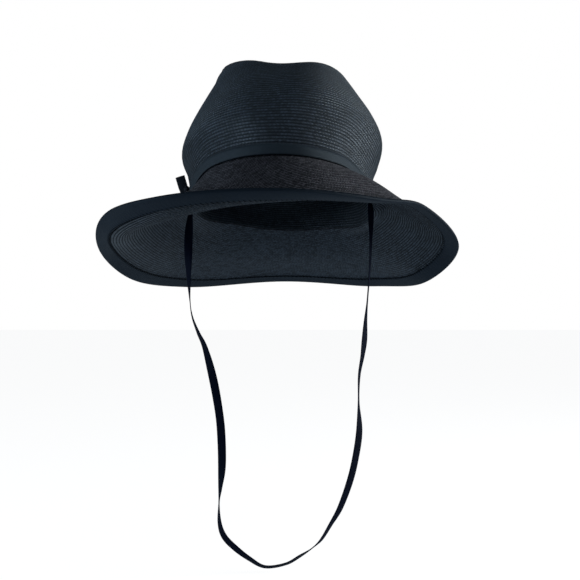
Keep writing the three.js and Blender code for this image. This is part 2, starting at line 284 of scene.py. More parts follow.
@dataclass(frozen=True)
class HatShape:
    """Faces of the crown and the brim in millimetres, before the hat is tilted back.

    The brim's edge is tucked inside the crown's and laps up over it, and settles to this near the seam.
    The hollow lies in the brim at a share of its width and an angle, and the groove in the front of the
    crown at a place across it and a height; each has a depth and its two half sizes.
    """

    tilt: float = math.radians(14)
    seam_rise: float = math.tan(math.radians(-1.9))
    wall: float = 1.5
    front_narrowing: float = 0.07
    crease_depth: float = 6.5
    crease_width: float = 24
    crease_from: float = 68
    crease_full: float = 118
    brim_fullness: float = 1.25
    tuck: float = 0.7
    lap: float = 0.3
    settling: float = 24
    sunk_height: float = 26
    sinks: tuple[Sink, ...] = (
        Sink(9.0, 38, 72, 110, 160, 0.84),
        Sink(8.0, 312, 278, 250, 205, 0.74),
    )
    hollow_depth: float = 9.5
    hollow_at: tuple[float, float] = (0.88, 302)
    hollow_size: tuple[float, float] = (0.10, 14)
    groove_depth: float = 2.5
    groove_at: tuple[float, float] = (-11, 66)
    groove_size: tuple[float, float] = (13, 34)
    groove_front: tuple[float, float] = (0.3, 0.8)

    @property
    def tip(self) -> int:
        """Place of the crown's tip, counted in rows."""
        return len(CROWN_ROWS) - 1

    def crown(self, place: Level, angle: np.ndarray) -> np.ndarray:
        """Points on the outer face of the crown.

        Args:
            place: height on the crown, counted in rows from the seam.
            angle: direction round the hat, from the front by the viewer's right.

        Returns:
            Points in millimetres.
        """
        table = np.array([astuple(row) for row in CROWN_ROWS], float)
        height, width, front, back, square, shift = np.moveaxis(through(table, place, False), -1, 0)
        side = np.sign(np.sin(angle)) * np.abs(np.sin(angle)) ** (2 / square)
        ahead = np.sign(np.cos(angle)) * np.abs(np.cos(angle)) ** (2 / square)
        x = width * side * (1 - self.front_narrowing * ahead) + shift
        y = (back - front) / 2 - (back + front) / 2 * ahead
        pressed = smooth_step(height, self.crease_from, self.crease_full)
        crease = self.crease_depth * pressed * np.exp(-((x / self.crease_width) ** 2))
        rise = x * self.seam_rise * np.maximum(1 - height / CROWN_ROWS[-1].height, 0)
        sunk = sum(sink.at(angle) for sink in self.sinks)
        sunk = sunk * (1 - smooth_step(height, 0, self.sunk_height))
        groove = self.groove_depth * smooth_step(ahead, *self.groove_front) * np.exp(
            -((x - self.groove_at[0]) / self.groove_size[0]) ** 2
            - ((height - self.groove_at[1]) / self.groove_size[1]) ** 2)
        return np.stack([x, y + groove, height - crease + rise - sunk], -1)

    def brim(self, share: Level, angle: np.ndarray) -> np.ndarray:
        """Points on the top face of the brim.

        Args:
            share: 0 at the rim and 1 at the seam.
            angle: direction round the hat, from the front by the viewer's right.

        Returns:
            Points in millimetres.
        """
        share, angle = np.broadcast_arrays(share, angle)
        seam = self.crown(np.zeros_like(angle), angle)
        table = np.array([astuple(row) for row in BRIM_ROWS], float)
        place = angle / (2 * math.pi) * len(BRIM_ROWS)
        reach, drop, root_slope, rim_slope = np.moveaxis(through(table, place, True), -1, 0)
        root, rim = np.radians(root_slope), np.radians(rim_slope)
        out = unit(np.stack([
            np.sin(angle) / CROWN_ROWS[0].width,
            -np.cos(angle) / CROWN_ROWS[0].front,
            np.zeros_like(angle),
        ], -1))
        pull = self.brim_fullness * np.hypot(reach, drop)
        t = 1 - share
        leave, arrive, go = t ** 3 - 2 * t ** 2 + t, t ** 3 - t ** 2, 3 * t ** 2 - 2 * t ** 3
        along = leave * pull * np.cos(root) + go * reach + arrive * pull * np.cos(rim)
        down = leave * pull * np.sin(root) + go * drop + arrive * pull * np.sin(rim)
        settled = share ** self.settling
        point = seam + out * (along - self.tuck * settled)[..., None]
        turned = np.degrees(angle) % 360
        hollow = self.hollow_depth * (1 - settled) * np.exp(
            -((share - self.hollow_at[0]) / self.hollow_size[0]) ** 2
            - ((turned - self.hollow_at[1]) / self.hollow_size[1]) ** 2)
        point[..., 2] += self.lap + sum(sink.eased(share, angle) for sink in self.sinks) - down - hollow
        return point

    def above(self, face: Face, u: Level, angle: np.ndarray, distance: Level) -> np.ndarray:
        """Points a distance above a face, measured square to it.

        Args:
            face: one of the two faces of this shape.
            u: first parameter of the face.
            angle: direction round the hat.
            distance: millimetres above the face, negative below it.

        Returns:
            Points in millimetres.
        """
        u, angle, distance = np.broadcast_arrays(np.asarray(u, float), angle, distance)
        across_u = face(u + SMALL_STEP, angle) - face(u - SMALL_STEP, angle)
        across_angle = face(u, angle + SMALL_STEP) - face(u, angle - SMALL_STEP)
        normal = unit(np.cross(across_angle, across_u))
        return face(u, angle) + normal * distance[..., None]

    def worn(self, points: np.ndarray) -> np.ndarray:
        """Tilts points back as the hat is worn and turns them into metres.

        Args:
            points: points in millimetres, before the tilt.

        Returns:
            The points in metres.
        """
        x, y, z = np.moveaxis(np.asarray(points, float), -1, 0)
        cos, sin = math.cos(self.tilt), math.sin(self.tilt)
        return np.stack([x, y * cos + z * sin, z * cos - y * sin], -1) * MM


SHAPE = HatShape()


class Meridians:
    """Lengths along a face from its first edge to its last, at each angle round the hat."""

    def __init__(self, face: Face, last: float, angles: np.ndarray, samples: int = 400) -> None:
        """Measures the face.

        Args:
            face: the face to measure.
            last: first parameter of the face at its last edge; the first edge is at 0.
            angles: angles round the hat.
            samples: points measured along each line.
        """
        self.places = np.linspace(0, last, samples)
        points = face(self.places[:, None], angles[None, :])
        steps = np.linalg.norm(np.diff(points, axis=0), axis=-1)
        self.run = np.vstack([np.zeros(len(angles)), np.cumsum(steps, axis=0)])
        self.length = self.run[-1]

    def at(self, distance: np.ndarray, column: int) -> np.ndarray:
        """Places that lie the given distances along one of the lines."""
        return np.interp(distance, self.run[:, column], self.places)


@dataclass
class Skin:
    """Points in metres, faces and the weave coordinates of their corners."""

    points: np.ndarray
    faces: list[tuple[int, ...]]
    weave: list[tuple[tuple[float, float], ...]]

    def merged(self) -> "Skin":
        """Joins the points that coincide and drops the faces that closed up.

        Returns:
            The joined skin.
        """
        keys = np.round(self.points / MM, SAME_POINT)
        _, first, where = np.unique(keys, axis=0, return_index=True, return_inverse=True)
        where = where.ravel()
        faces, weave = [], []
        for face, corners in zip(self.faces, self.weave):
            ring, ring_weave = [], []
            for point, corner in zip(face, corners):
                index = int(where[point])
                if index not in ring:
                    ring.append(index)
                    ring_weave.append(corner)
            if len(ring) > 2:
                faces.append(tuple(ring))
                weave.append(tuple(ring_weave))
        return Skin(self.points[first], faces, weave)

    def plus(self, other: "Skin") -> "Skin":
        """Puts another skin beside this one in the same mesh.

        Args:
            other: the other skin.

        Returns:
            Both in one skin.
        """
        shift = len(self.points)
        moved = [tuple(k + shift for k in face) for face in other.faces]
        return Skin(np.vstack([self.points, other.points]), self.faces + moved, self.weave + other.weave)


def outward(mesh: bpy.types.Mesh) -> None:
    """Turns the faces of a closed mesh to look outward.

    Args:
        mesh: the mesh.
    """
    points = np.array([v.co for v in mesh.vertices])
    mesh.calc_loop_triangles()
    corners = np.array([t.vertices for t in mesh.loop_triangles])
    a, b, c = (points[corners[:, k]] for k in range(3))
    if np.einsum("ij,ij->i", a, np.cross(b, c)).sum() < 0:
        mesh.flip_normals()


def place_piece(name: str, skin: Skin, finish: bpy.types.Material) -> bpy.types.Object:
    """Makes a piece of the hat from a skin and puts it on the hat's body.

    Args:
        name: name of the piece.
        skin: its closed surface.
        finish: its material.

    Returns:
        The new object.
    """
    mesh = bpy.data.meshes.new(name)
    mesh.from_pydata(skin.points.tolist(), [], skin.faces)
    corners = np.array([corner for face in skin.weave for corner in face], np.float32)
    mesh.uv_layers.new(name=WEAVE).data.foreach_set("uv", corners.ravel())
    mesh.polygons.foreach_set("use_smooth", np.ones(len(mesh.polygons), bool))
    outward(mesh)
    mesh.update()
    piece = bpy.data.objects.new(name, mesh)
    bpy.context.scene.collection.objects.link(piece)
    piece.data.materials.append(finish)
    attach(piece, BODY)
    return piece


def loop_skin(sections: np.ndarray, along: np.ndarray, around: np.ndarray, closed: bool) -> Skin:
    """Closed surface through rings of points.

    Args:
        sections: rings of points in metres, (count, sides, 3).
        along: millimetres along the rings, one more than their count when closed.
        around: millimetres round a ring, one more than its sides.
        closed: whether the last ring runs on into the first; else both ends are capped.

    Returns:
        The surface with its weave coordinates.
    """
    count, sides = sections.shape[:2]
    spans = count if closed else count - 1
    faces, weave = [], []
    for i in range(spans):
        for j in range(sides):
            a, b = i * sides + j, (i + 1) % count * sides + j
            c, d = (i + 1) % count * sides + (j + 1) % sides, i * sides + (j + 1) % sides
            faces.append((a, b, c, d))
            low, high, left, right = along[i], along[i + 1], around[j], around[j + 1]
            weave.append(((low, left), (high, left), (high, right), (low, right)))
    if not closed:
        for ring in (0, count - 1):
            faces.append(tuple(ring * sides + j for j in range(sides)))
            weave.append(tuple((along[ring], around[j]) for j in range(sides)))
    return Skin(sections.reshape(-1, 3), faces, weave)


@dataclass(frozen=True)
class Row:
    """Cut through one row of braid: shares of the pitch and millimetres above the face."""

    shares: tuple[float, ...]
    lifts: tuple[float, ...]


@dataclass
class BraidSheet:
    """A shell of braid sewn round and round in lapped rows, finished on both sides.

    It has a pitch in millimetres, or else a count of rows. A sheet without an edge at its end closes there
    in a point.
    """

    face: Face
    last: float
    columns: int
    outside: Row
    inside: Row
    pitch: float | None = None
    rows: int = 0
    edge_at_end: bool = False
    angles: np.ndarray = field(init=False)
    meridians: Meridians = field(init=False)

    def __post_init__(self) -> None:
        """Measures the face and counts the rows that cover it."""
        self.angles = round_angles(self.columns)
        self.meridians = Meridians(self.face, self.last, self.angles)
        if self.pitch is not None:
            self.rows = math.ceil(self.meridians.length.max() / self.pitch)

    def side(self, row: Row, below: float) -> Skin:
        """One side of the sheet as a single winding strip.

        Args:
            row: the cut through a row.
            below: millimetres that this side lies under the face.

        Returns:
            The open surface, its first and last turns held at the edges of the face.
        """
        turns, columns, cuts = self.rows + 2, self.columns, len(row.shares)
        step = np.arange(turns * columns + 1)
        counted = step[:, None] / columns - 1 + np.array(row.shares)[None, :]
        column = np.broadcast_to((step % columns)[:, None], counted.shape)
        length = self.meridians.length[column]
        pitch = length / self.rows if self.pitch is None else np.full(counted.shape, self.pitch)
        distance = counted * pitch
        held = (distance <= 0) | (distance >= length)
        distance = np.clip(distance, 0, length)
        place = np.empty_like(distance)
        for k in range(columns):
            place[k::columns] = self.meridians.at(distance[k::columns], k)
        lift = np.where(held, 0.0, np.array(row.lifts)[None, :])
        sign = 1 if below == 0 else -1
        points = SHAPE.above(self.face, place, self.angles[column], sign * lift - below)
        if not self.edge_at_end:
            points[distance >= length] = points[-1, -1]
        along = summed(np.linalg.norm(np.diff(points[:, 0], axis=0), axis=-1))
        shares = (*row.shares, 1.0)
        first = INNER_ROWS if below else 0
        faces, weave = [], []
        for i in range((turns - 1) * columns):
            turn = i // columns
            for m in range(cuts):
                a, b = i * cuts + m, (i + 1) * cuts + m
                over = columns * cuts - cuts + 1 if m == cuts - 1 else 1
                faces.append((a, b, b + over, a + over))
                here, ahead = along[i], along[i + 1]
                low, high = first + turn + shares[m], first + turn + shares[m + 1]
                weave.append(((here, low), (ahead, low), (ahead, high), (here, high)))
        if below:
            faces = [face[::-1] for face in faces]
            weave = [corners[::-1] for corners in weave]
        return Skin(SHAPE.worn(points.reshape(-1, 3)), faces, weave)

    def hem(self, skin: Skin, shift: int, first: int, second: int, far: bool) -> None:
        """Joins the two sides along an edge of the face.

        Args:
            skin: both sides in one skin.
            shift: count of the outside's points.
            first: point of the outside that starts the edge.
            second: point of the inside that starts it.
            far: whether the edge is the last one of the face.
        """
        out_cuts, in_cuts = len(self.outside.shares), len(self.inside.shares)
        for k in range(self.columns):
            n = (k + 1) % self.columns
            ring = (
                first + k * out_cuts, first + n * out_cuts,
                shift + second + n * in_cuts, shift + second + k * in_cuts,
            )
            corners = ((k, 0), (k + 1, 0), (k + 1, 1), (k, 1))
            skin.faces.append(ring if far else ring[::-1])
            skin.weave.append(corners if far else corners[::-1])

    def skin(self) -> Skin:
        """Joins the two sides of the sheet along its edges.

        Returns:
            The closed shell.
        """
        outer, inner = self.side(self.outside, 0), self.side(self.inside, SHAPE.wall)
        skin = outer.plus(inner)
        shift = len(outer.points)
        self.hem(skin, shift, 0, 0, False)
        if self.edge_at_end:
            turn = (self.rows + 1) * self.columns
            self.hem(skin, shift, turn * len(self.outside.shares), turn * len(self.inside.shares), True)
        return skin.merged()


class Follow(NamedTuple):
    """How a tone follows a value: its weight, and where it starts."""

    weight: float
    start: float


@dataclass(frozen=True)
class Grain:
    """Noise in a finish: its lumps a metre, its detail and its roughness."""

    scale: float
    detail: float
    roughness: float = 0.6


class Nodes:
    """A material's node tree, with short ways to add to it."""

    def __init__(self, name: str) -> None:
        """Makes the material with its surface shader.

        Args:
            name: name of the material.
        """
        self.material = bpy.data.materials.new(name)
        self.material.use_nodes = True
        self.tree = self.material.node_tree
        self.shader = self.tree.nodes["Principled BSDF"]

    def add(self, kind: str, settings: dict | None = None, inputs: dict | None = None) -> bpy.types.Node:
        """Adds a node.

        Args:
            kind: its type.
            settings: values of its properties.
            inputs: values or links of its sockets, by name or number.

        Returns:
            The node.
        """
        node = self.tree.nodes.new(kind)
        for name, value in (settings or {}).items():
            setattr(node, name, value)
        for name, value in (inputs or {}).items():
            if isinstance(value, bpy.types.NodeSocket):
                self.tree.links.new(value, node.inputs[name])
            else:
                node.inputs[name].default_value = value
        return node

    def math(self, operation: str, *values: float | bpy.types.NodeSocket) -> bpy.types.NodeSocket:
        """Result of a calculation on numbers or sockets."""
        return self.add("ShaderNodeMath", {"operation": operation}, dict(enumerate(values))).outputs[0]

    def weave(self) -> tuple[bpy.types.NodeSocket, bpy.types.NodeSocket]:
        """Reads the weave coordinates of a piece.

        Returns:
            Millimetres along the weave, and rows of braid or millimetres of ribbon across it.
        """
        layer = self.add("ShaderNodeUVMap", {"uv_map": WEAVE})
        split = self.add("ShaderNodeSeparateXYZ", inputs={0: layer.outputs[0]})
        return split.outputs[0], split.outputs[1]

    def noise(self, grain: Grain) -> bpy.types.NodeSocket:
        """Adds noise over the hat in its own space.

        Args:
            grain: lumps, detail and roughness of the noise.

        Returns:
            Its value.
        """
        place = self.add("ShaderNodeTexCoord").outputs["Object"]
        inputs = {
            "Vector": place, "Scale": grain.scale, "Detail": grain.detail, "Roughness": grain.roughness,
        }
        return self.add("ShaderNodeTexNoise", inputs=inputs).outputs[0]

    def ramp(self, value: bpy.types.NodeSocket, low: float, high: float) -> bpy.types.NodeSocket:
        """Rises smoothly from 0 to 1 with a value.

        Args:
            value: the value.
            low: where the rise starts.
            high: where it ends.

        Returns:
            The result.
        """
        settings = {"interpolation_type": "SMOOTHSTEP"}
        inputs = {"Value": value, "From Min": low, "From Max": high}
        return self.add("ShaderNodeMapRange", settings, inputs).outputs[0]

    def scaled(self, value: bpy.types.NodeSocket, follow: Follow) -> bpy.types.NodeSocket:
        """A value times its weight, from where it starts."""
        return self.math("MULTIPLY_ADD", value, follow.weight, follow.start)

    def blend(
        self,
        share: bpy.types.NodeSocket,
        low: Sequence[float] | bpy.types.NodeSocket,
        high: Sequence[float] | bpy.types.NodeSocket,
    ) -> bpy.types.NodeSocket:
        """Colour between two, by a share.

        Args:
            share: 0 for the first colour and 1 for the second.
            low: the first colour.
            high: the second colour.

        Returns:
            The colour.
        """
        node = self.add("ShaderNodeMix", {"data_type": "RGBA"})
        self.tree.links.new(share, node.inputs[0])
        for socket, colour in ((node.inputs[6], low), (node.inputs[7], high)):
            if isinstance(colour, bpy.types.NodeSocket):
                self.tree.links.new(colour, socket)
            else:
                socket.default_value = (*colour, 1)
        return node.outputs[2]

    def bump(self, height: bpy.types.NodeSocket, distance: float, strength: float) -> None:
        """Raises the surface by a height, in metres."""
        inputs = {"Height": height, "Distance": distance, "Strength": strength}
        self.set("Normal", self.add("ShaderNodeBump", inputs=inputs).outputs[0])

    def set(self, name: str, value: float | Sequence[float] | bpy.types.NodeSocket) -> None:
        """Sets or links a socket of the surface shader.

        Args:
            name: the socket's name.
            value: its constant, or the socket that feeds it.
        """
        if isinstance(value, bpy.types.NodeSocket):
            self.tree.links.new(value, self.shader.inputs[name])
        else:
            self.shader.inputs[name].default_value = value


@dataclass(frozen=True)
class StrawFinish:
    """Glossy blue-black plaited straw, one plait to a row, with painted shade in the laps between rows.

    The plait and the bump are in millimetres, and the lap is a share of a row. Laps are rougher than the
    open part of a row by what is added there, and the open part is smoother by what is taken off.
    """

    # Colour of the painted shade in the laps between rows, and the low end of the plaits' tone
    dark: Colour = (0.0016, 0.0028, 0.0055)
    light: Colour = (0.064, 0.082, 0.116)
    inner: Colour = (0.050, 0.066, 0.090)
    plait: float = 3.0
    slant: float = 0.6
    lap: float = 0.4
    strand: float = 0.75
    # Spread of the random brightness given to each plait: painted glints
    painted_glint: float = 0.75
    gloss: float = 1.0
    tint: Rgba = (0.8, 0.92, 1, 1)
    roughness: float = 0.34
    lap_added: float = 0.35
    open_taken: float = 0.45
    patches: Grain = Grain(28, 4)
    patch_tone: Follow = Follow(0.7, 0.5)
    flecks: Grain = Grain(900, 2)
    fleck_tone: Follow = Follow(3.2, -0.7)
    fleck_roughness: float = 0.2
    depth: float = 0.4
    relief: float = 0.9

    def material(self, name: str) -> bpy.types.Material:
        """Makes the material.

        Args:
            name: its name.

        Returns:
            The material.
        """
        nodes = Nodes(name)
        along, across = nodes.weave()
        share = nodes.math("FRACT", across)
        middle = nodes.math("ABSOLUTE", nodes.math("SUBTRACT", share, 0.5))
        slanted = nodes.math("MULTIPLY", middle, 2 * self.slant)
        phase = nodes.math("ADD", nodes.math("DIVIDE", along, self.plait), slanted)
        strand = nodes.math("ABSOLUTE", nodes.math("SINE", nodes.math("MULTIPLY", phase, math.pi)))
        cell = {0: nodes.math("FLOOR", phase), 1: nodes.math("FLOOR", across)}
        place = nodes.add("ShaderNodeCombineXYZ", inputs=cell).outputs[0]
        glint_dice = nodes.add("ShaderNodeTexWhiteNoise", {"noise_dimensions": "2D"}, {"Vector": place})
        lower = nodes.ramp(share, 0.0, self.lap)
        upper = nodes.ramp(nodes.math("SUBTRACT", 1, share), 0.0, self.lap)
        open_part = nodes.math("MULTIPLY", lower, upper)
        height = nodes.math("MULTIPLY", strand, open_part)
        flecks = nodes.noise(self.flecks)
        # The tone falls to the dark colour in the laps: painted shade between the rows
        tone = open_part
        for factor in (
            nodes.scaled(strand, Follow(self.strand, 1 - self.strand)),
            nodes.scaled(nodes.noise(self.patches), self.patch_tone),
            nodes.scaled(flecks, self.fleck_tone),
            # Random brightness for each plait: painted glints
            nodes.scaled(glint_dice.outputs[0], Follow(2 * self.painted_glint, 1 - self.painted_glint)),
        ):
            tone = nodes.math("MULTIPLY", tone, factor)
        within = nodes.math("GREATER_THAN", across, INNER_ROWS - 0.5)
        nodes.set("Base Color", nodes.blend(tone, self.dark, nodes.blend(within, self.light, self.inner)))
        worn = nodes.scaled(flecks, Follow(self.fleck_roughness, self.roughness + self.lap_added))
        smoothed = nodes.math("MULTIPLY", open_part, self.open_taken)
        nodes.set("Roughness", nodes.math("SUBTRACT", worn, smoothed))
        nodes.set("Specular IOR Level", self.gloss)
        nodes.set("Specular Tint", self.tint)
        nodes.bump(height, self.depth * MM, self.relief)
        return nodes.material


@dataclass(frozen=True)
class RibbonFinish:
    """Woven ribbon: fine ribs across its length, and threads along it, their pitches in millimetres."""

    dark: Colour
    light: Colour
    rib: float = 0.7
    thread: float = 0.45
    rib_share: float = 0.65
    roughness: float = 0.6
    sheen: float = 0.3
    sheen_roughness: float = 0.4
    gloss: float = 0.3
    tint: Rgba = (0.7, 0.87, 1, 1)
    patches: Grain = Grain(60, 4)
    patch_share: float = 0.5
    flecks: Grain = Grain(1400, 2)
    fleck_tone: Follow = Follow(0.6, 0.65)
    fleck_roughness: float = 0.2
    depth: float = 0.12
    relief: float = 0.8

    def material(self, name: str) -> bpy.types.Material:
        """Makes the material.

        Args:
            name: its name.

        Returns:
            The material.
        """
        nodes = Nodes(name)
        along, across = nodes.weave()
        rib, thread = (
            nodes.math("ABSOLUTE", nodes.math("SINE", nodes.math("MULTIPLY", run, math.pi / pitch)))
            for run, pitch in ((along, self.rib), (across, self.thread))
        )
        ribs = nodes.math("MULTIPLY", rib, self.rib_share)
        height = nodes.math("MULTIPLY_ADD", thread, 1 - self.rib_share, ribs)
        patches = nodes.math("MULTIPLY", nodes.noise(self.patches), self.patch_share)
        flecks = nodes.noise(self.flecks)
        tone = nodes.math("MULTIPLY_ADD", height, 1 - self.patch_share, patches)
        tone = nodes.math("MULTIPLY", tone, nodes.scaled(flecks, self.fleck_tone))
        worn = Follow(self.fleck_roughness, self.roughness - self.fleck_roughness / 2)
        nodes.set("Base Color", nodes.blend(tone, self.dark, self.light))
        nodes.set("Roughness", nodes.scaled(flecks, worn))
        nodes.set("Specular IOR Level", self.gloss)
        nodes.set("Specular Tint", self.tint)
        nodes.set("Sheen Weight", self.sheen)
        nodes.set("Sheen Roughness", self.sheen_roughness)
        nodes.bump(height, self.depth * MM, self.relief)
        return nodes.material


@dataclass(frozen=True)
class VelvetFinish:
    """Black velvet with a short soft pile."""

    dark: Colour = (0.0012, 0.0022, 0.0065)
    light: Colour = (0.007, 0.012, 0.028)
    roughness: float = 0.8
    sheen: float = 0.2
    sheen_roughness: float = 0.35
    pile: Grain = Grain(2600, 3, 0.7)
    pile_share: float = 0.6
    brushing: Grain = Grain(160, 3)
    brushed_roughness: float = 0.2
    depth: float = 0.25
    relief: float = 0.8

    def material(self, name: str) -> bpy.types.Material:
        """Makes the material.

        Args:
            name: its name.

        Returns:
            The material.
        """
        nodes = Nodes(name)
        pile = nodes.noise(self.pile)
        brushed = nodes.noise(self.brushing)
        under = nodes.math("MULTIPLY", brushed, 1 - self.pile_share)
        tone = nodes.math("MULTIPLY_ADD", pile, self.pile_share, under)
        worn = Follow(self.brushed_roughness, self.roughness - self.brushed_roughness / 2)
        nodes.set("Base Color", nodes.blend(tone, self.dark, self.light))
        nodes.set("Roughness", nodes.scaled(brushed, worn))
        nodes.set("Sheen Weight", self.sheen)
        nodes.set("Sheen Roughness", self.sheen_roughness)
        nodes.bump(pile, self.depth * MM, self.relief)
        return nodes.material


@dataclass
class Crown:
    """The crown: one shell of braid wound from the seam to the tip."""

    rows: int = 80
    columns: int = 180
    outside: Row = Row((0, 0.12, 0.45, 0.8), (-0.35, 0.05, 0.15, -0.1))
    inside: Row = Row((0, 0.45), (-0.25, 0.1))

    def build(self, finish: StrawFinish) -> bpy.types.Object:
        """Builds and dresses the crown.

        Args:
            finish: its finish.

        Returns:
            The piece.
        """
        sheet = BraidSheet(
            SHAPE.crown, SHAPE.tip, self.columns, self.outside, self.inside, rows=self.rows,
        )
        piece = place_piece("crown_braid", sheet.skin(), finish.material("straw_crown"))
        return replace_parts(piece, "crown")


@dataclass
class Brim:
    """The brim: one shell of braid wound in from the rim to the seam."""

    pitch: float = 2.2
    columns: int = 232
    outside: Row = Row((0, 0.15, 0.55), (-0.35, 0.1, 0.1))
    inside: Row = Row((0, 0.15, 0.55), (-0.35, 0.1, 0.1))

    def build(self, finish: StrawFinish) -> bpy.types.Object:
        """Builds and dresses the brim.

        Args:
            finish: its finish.

        Returns:
            The piece.
        """
        sheet = BraidSheet(
            SHAPE.brim, 1, self.columns, self.outside, self.inside, pitch=self.pitch, edge_at_end=True,
        )
        piece = place_piece("brim_braid", sheet.skin(), finish.material("straw_brim"))
        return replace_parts(piece, "brim")


@dataclass
class RimFacing:
    """The facing: a ribbon folded over the rim, and the stitches along its inner edge.

    Lengths are in millimetres, and the turns round the rim's edge in degrees. The hems give the shares of
    the ribbon's thickness that are left at its two edges.
    """

    columns: int = 1240
    under: float = 12
    under_shares: tuple[float, ...] = (1, 0.97, 0.72, 0.45, 0.2, 0)
    under_hem: float = 0.45
    over: float = 2
    over_share: float = 0.6
    over_hems: tuple[float, float] = (0.75, 0.2)
    outer_turns: tuple[float, ...] = (30, 65, 90, 115, 150)
    inner_turns: tuple[float, ...] = (150, 90, 30)
    gap: float = 0.25
    thick: float = 0.5
    pucker: float = 0.3
    stitch_pitch: float = 4.2
    stitch_length: float = 2.0
    stitch_reach: float = 1.3
    stitch_radius: float = 0.34
    stitch_lifts: tuple[float, float] = (0.05, 0.3)
    stitch_end: float = 0.96
    stitch_cuts: int = 5
    stitch_sides: int = 6
    stitch_weave: tuple[float, float] = (3, 0.3)

    def lines(self) -> tuple[np.ndarray, Meridians]:
        """Angles round the rim and the lengths measured in from it."""
        angles = round_angles(self.columns)
        return angles, Meridians(SHAPE.brim, 1, angles)

    def layer(self, angles: np.ndarray, inward: Meridians, distance: float, lift: Level) -> np.ndarray:
        """Ring of points a distance in from the rim and a height above the brim's top face."""
        share = np.array([inward.at(distance, k) for k in range(self.columns)])
        return SHAPE.above(SHAPE.brim, share, angles, lift)

    def ribbon(self) -> Skin:
        """Folds the ribbon over the rim.

        Returns:
            Its closed surface.
        """
        angles, inward = self.lines()
        rim = SHAPE.brim(0.0, angles)
        along = run_round(rim)
        count = int(along[-1] / self.stitch_pitch)
        wave = 0.5 - 0.5 * np.cos(2 * math.pi * count * along[:-1] / along[-1])
        wall, high = SHAPE.wall, self.gap + self.thick
        far, near = [], []
        for share in self.under_shares:
            distance, lift = share * self.under, -wall - high - self.pucker * share ** 3 * wave
            thick = self.thick * (self.under_hem if share == 1 else 1)
            far.append(self.layer(angles, inward, distance, lift))
            near.append(self.layer(angles, inward, distance, lift + thick))
        past = unit(rim - SHAPE.brim(SMALL_STEP, angles))
        normal = SHAPE.above(SHAPE.brim, 0.0, angles, 1.0) - rim

        def bend(radius: float, turn: float) -> np.ndarray:
            """Ring round the rim's edge, turned from under (0) to over (180 degrees)."""
            out, up = radius * math.sin(math.radians(turn)), -radius * math.cos(math.radians(turn))
            return rim + past * out + normal * (up - wall / 2)

        turn_over = self.over_share * self.over
        ring = [
            *far,
            *(bend(wall / 2 + high, turn) for turn in self.outer_turns),
            *(self.layer(angles, inward, distance, high) for distance in (0, turn_over)),
            *(self.layer(angles, inward, self.over, self.gap + hem * self.thick)
              for hem in self.over_hems),
            *(self.layer(angles, inward, distance, self.gap) for distance in (turn_over, 0)),
            *(bend(wall / 2 + self.gap, turn) for turn in self.inner_turns),
            *near[::-1],
        ]
        return loop_skin(SHAPE.worn(np.stack(ring, 1)), along, run_across(ring), True)

    def stitches(self) -> Skin:
        """Sews slanting stitches over the inner edge of the ribbon.

        Returns:
            The closed surfaces of them all.
        """
        angles, inward = self.lines()
        lines, lifts = [], []
        for reach in (-self.stitch_reach, self.stitch_reach):
            level = -SHAPE.wall - self.gap - (0 if reach > 0 else self.thick)
            lines.append(self.layer(angles, inward, self.under + reach, level))
            lifts.append(self.layer(angles, inward, self.under + reach, level - 1) - lines[-1])
        run = run_round(SHAPE.brim(0.0, angles))
        count = int(run[-1] / self.stitch_pitch)
        closed = [np.vstack([line, line[:1]]) for line in lines + lifts]
        share = np.linspace(0, 1, self.stitch_cuts)[:, None]
        bow = np.linspace(-self.stitch_end, self.stitch_end, self.stitch_cuts)[:, None, None]
        swell = np.sqrt(1 - bow ** 2)
        turn = round_angles(self.stitch_sides)[None, :, None]
        low, swollen = self.stitch_lifts
        skin = Skin(np.zeros((0, 3)), [], [])
        for k in range(count):
            at = (k * run[-1] / count + (share[:, 0] - 0.5) * self.stitch_length) % run[-1]
            outer, inner, up_outer, up_inner = (
                np.stack([np.interp(at, run, line[:, axis]) for axis in range(3)], -1) for line in closed
            )
            centre = outer * (1 - share) + inner * share
            normal = unit(up_outer * (1 - share) + up_inner * share)
            across = unit(np.cross(unit(np.gradient(centre, axis=0)), normal))
            spokes = np.cos(turn) * across[:, None] + np.sin(turn) * normal[:, None]
            raised = centre[:, None] + normal[:, None] * (low + swollen * swell)
            ring = raised + self.stitch_radius * swell * spokes
            along = self.stitch_weave[0] * share[:, 0]
            around = self.stitch_weave[1] * np.arange(self.stitch_sides + 1)
            skin = skin.plus(loop_skin(SHAPE.worn(ring), along, around, False))
        return skin

    def build(self, ribbon: RibbonFinish, thread: RibbonFinish) -> list[bpy.types.Object]:
        """Builds and dresses the facing and its stitches.

        Args:
            ribbon: finish of the facing.
            thread: finish of the stitches.

        Returns:
            The two pieces.
        """
        woven, sewn = ribbon.material("ribbon_facing"), thread.material("thread")
        facing = place_piece("facing_ribbon", self.ribbon(), woven)
        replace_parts(facing, "rim_facing")
        stitches = place_piece("facing_stitches", self.stitches(), sewn)
        return [facing, stitches]


